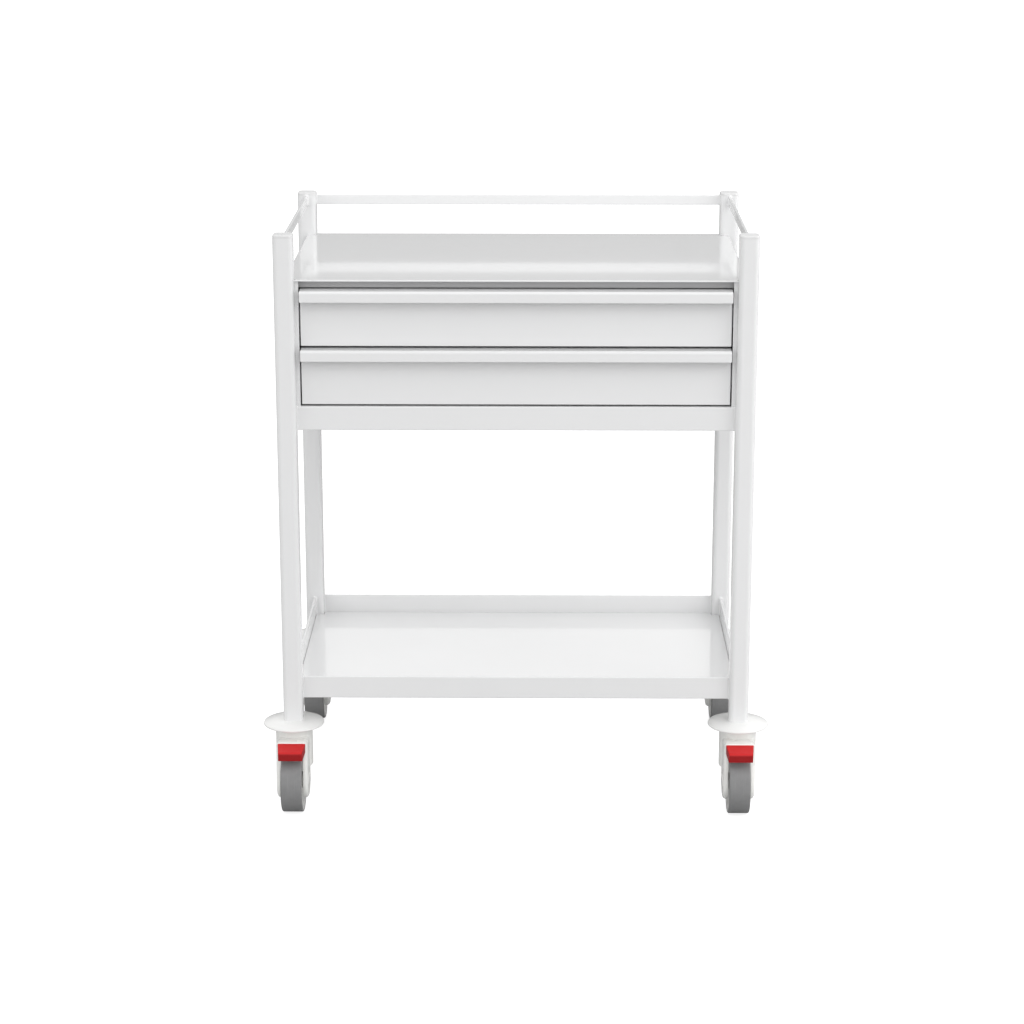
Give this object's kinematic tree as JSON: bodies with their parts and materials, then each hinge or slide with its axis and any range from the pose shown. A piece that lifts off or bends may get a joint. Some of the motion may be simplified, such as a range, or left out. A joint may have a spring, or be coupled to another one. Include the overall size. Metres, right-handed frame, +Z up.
{
  "type": "ward trolley",
  "caption": "White steel ward trolley with drawers under a railed top, a lower shelf, and swivel castors with brake pedals at the front.",
  "frame": {"origin": "on the floor, at the middle of the footprint of the castors and buffers", "axes": "+Z up, front (drawer pulls) towards -Y, +X to the right of someone facing the front"},
  "size_m": [0.7836, 0.551, 0.9],
  "materials": {
    "frame_paint": "gloss white powder coat",
    "panel_paint": "smooth gloss white powder coat on sheet",
    "drawer_paint": "smooth gloss white powder coat on sheet",
    "cap_plastic": "smooth moulded white",
    "buffer_plastic": "smooth moulded white",
    "fork_plastic": "moulded off-white",
    "core_plastic": "moulded light grey",
    "tyre_grey": "non-marking grey rubber",
    "pedal_red": "moulded red",
    "zinc_steel": "bright zinc-plated steel"
  },
  "bodies": {
    "frame": {"post_front_left": "frame_paint", "post_front_right": "frame_paint", "post_rear_left": "frame_paint", "post_rear_right": "frame_paint", "post_caps": "cap_plastic", "guard_rail_rear": "frame_paint", "guard_rail_left": "frame_paint", "guard_rail_right": "frame_paint", "middle_rail_front": "frame_paint", "middle_rail_rear": "frame_paint", "middle_rail_left": "frame_paint", "middle_rail_right": "frame_paint", "shelf_rim_front": "frame_paint", "shelf_rim_rear": "frame_paint", "shelf_rim_left": "frame_paint", "shelf_rim_right": "frame_paint", "top_panel": "panel_paint", "lower_shelf": "panel_paint", "housing_side_left": "panel_paint", "housing_side_right": "panel_paint", "housing_back": "panel_paint", "housing_floor": "panel_paint", "housing_top_channel": "panel_paint", "runner_outer_upper": "zinc_steel", "runner_outer_lower": "zinc_steel", "runner_screws": "zinc_steel", "castor_stems": "zinc_steel", "buffer_disc_front_left": "buffer_plastic", "buffer_disc_front_right": "buffer_plastic", "buffer_disc_rear_left": "buffer_plastic", "buffer_disc_rear_right": "buffer_plastic"},
    "drawer_upper": {"drawer_front_upper": "drawer_paint", "drawer_pull_upper": "drawer_paint", "drawer_box_upper": "panel_paint", "runner_inner_upper": "zinc_steel"},
    "slide_upper": {"runner_middle_upper": "zinc_steel"},
    "drawer_lower": {"drawer_front_lower": "drawer_paint", "drawer_pull_lower": "drawer_paint", "drawer_box_lower": "panel_paint", "runner_inner_lower": "zinc_steel"},
    "slide_lower": {"runner_middle_lower": "zinc_steel"},
    "castor_front_left": {"castor_fork_front_left": "fork_plastic", "castor_axle_front_left": "zinc_steel"},
    "wheel_front_left": {"wheel_core_front_left": "core_plastic", "tyre_front_left": "tyre_grey"},
    "pedal_front_left": {"brake_pedal_front_left": "pedal_red"},
    "castor_front_right": {"castor_fork_front_right": "fork_plastic", "castor_axle_front_right": "zinc_steel"},
    "wheel_front_right": {"wheel_core_front_right": "core_plastic", "tyre_front_right": "tyre_grey"},
    "pedal_front_right": {"brake_pedal_front_right": "pedal_red"},
    "castor_rear_left": {"castor_fork_rear_left": "fork_plastic", "castor_axle_rear_left": "zinc_steel"},
    "wheel_rear_left": {"wheel_core_rear_left": "core_plastic", "tyre_rear_left": "tyre_grey"},
    "castor_rear_right": {"castor_fork_rear_right": "fork_plastic", "castor_axle_rear_right": "zinc_steel"},
    "wheel_rear_right": {"wheel_core_rear_right": "core_plastic", "tyre_rear_right": "tyre_grey"}
  },
  "joints": [
    {"name": "drawer_upper_slide", "type": "slide", "parent": "frame", "child": "drawer_upper", "axis": [0, -1, 0], "range_m": [0, 0.35]},
    {"name": "runner_upper_slide", "type": "slide", "parent": "frame", "child": "slide_upper", "axis": [0, -1, 0], "range_m": [0, 0.175]},
    {"name": "drawer_lower_slide", "type": "slide", "parent": "frame", "child": "drawer_lower", "axis": [0, -1, 0], "range_m": [0, 0.35]},
    {"name": "runner_lower_slide", "type": "slide", "parent": "frame", "child": "slide_lower", "axis": [0, -1, 0], "range_m": [0, 0.175]},
    {"name": "swivel_front_left", "type": "hinge", "parent": "frame", "child": "castor_front_left", "pos_m": [-0.345, -0.1969, 0.131], "axis": [0, 0, 1], "continuous": true},
    {"name": "wheel_front_left_spin", "type": "hinge", "parent": "castor_front_left", "child": "wheel_front_left", "pos_m": [-0.345, -0.2249, 0.05], "axis": [1, 0, 0], "continuous": true},
    {"name": "brake_front_left", "type": "hinge", "parent": "castor_front_left", "child": "pedal_front_left", "pos_m": [-0.345, -0.2189, 0.109], "axis": [1, 0, 0], "range_deg": [0, 10]},
    {"name": "swivel_front_right", "type": "hinge", "parent": "frame", "child": "castor_front_right", "pos_m": [0.345, -0.1969, 0.131], "axis": [0, 0, 1], "continuous": true},
    {"name": "wheel_front_right_spin", "type": "hinge", "parent": "castor_front_right", "child": "wheel_front_right", "pos_m": [0.345, -0.2249, 0.05], "axis": [1, 0, 0], "continuous": true},
    {"name": "brake_front_right", "type": "hinge", "parent": "castor_front_right", "child": "pedal_front_right", "pos_m": [0.345, -0.2189, 0.109], "axis": [1, 0, 0], "range_deg": [0, 10]},
    {"name": "swivel_rear_left", "type": "hinge", "parent": "frame", "child": "castor_rear_left", "pos_m": [-0.345, 0.2281, 0.131], "axis": [0, 0, 1], "continuous": true},
    {"name": "wheel_rear_left_spin", "type": "hinge", "parent": "castor_rear_left", "child": "wheel_rear_left", "pos_m": [-0.345, 0.2001, 0.05], "axis": [1, 0, 0], "continuous": true},
    {"name": "swivel_rear_right", "type": "hinge", "parent": "frame", "child": "castor_rear_right", "pos_m": [0.345, 0.2281, 0.131], "axis": [0, 0, 1], "continuous": true},
    {"name": "wheel_rear_right_spin", "type": "hinge", "parent": "castor_rear_right", "child": "wheel_rear_right", "pos_m": [0.345, 0.2001, 0.05], "axis": [1, 0, 0], "continuous": true}
  ],
  "couplings": [
    {"joint": "runner_upper_slide", "follows": "drawer_upper_slide", "ratio": 0.5},
    {"joint": "runner_lower_slide", "follows": "drawer_lower_slide", "ratio": 0.5}
  ]
}
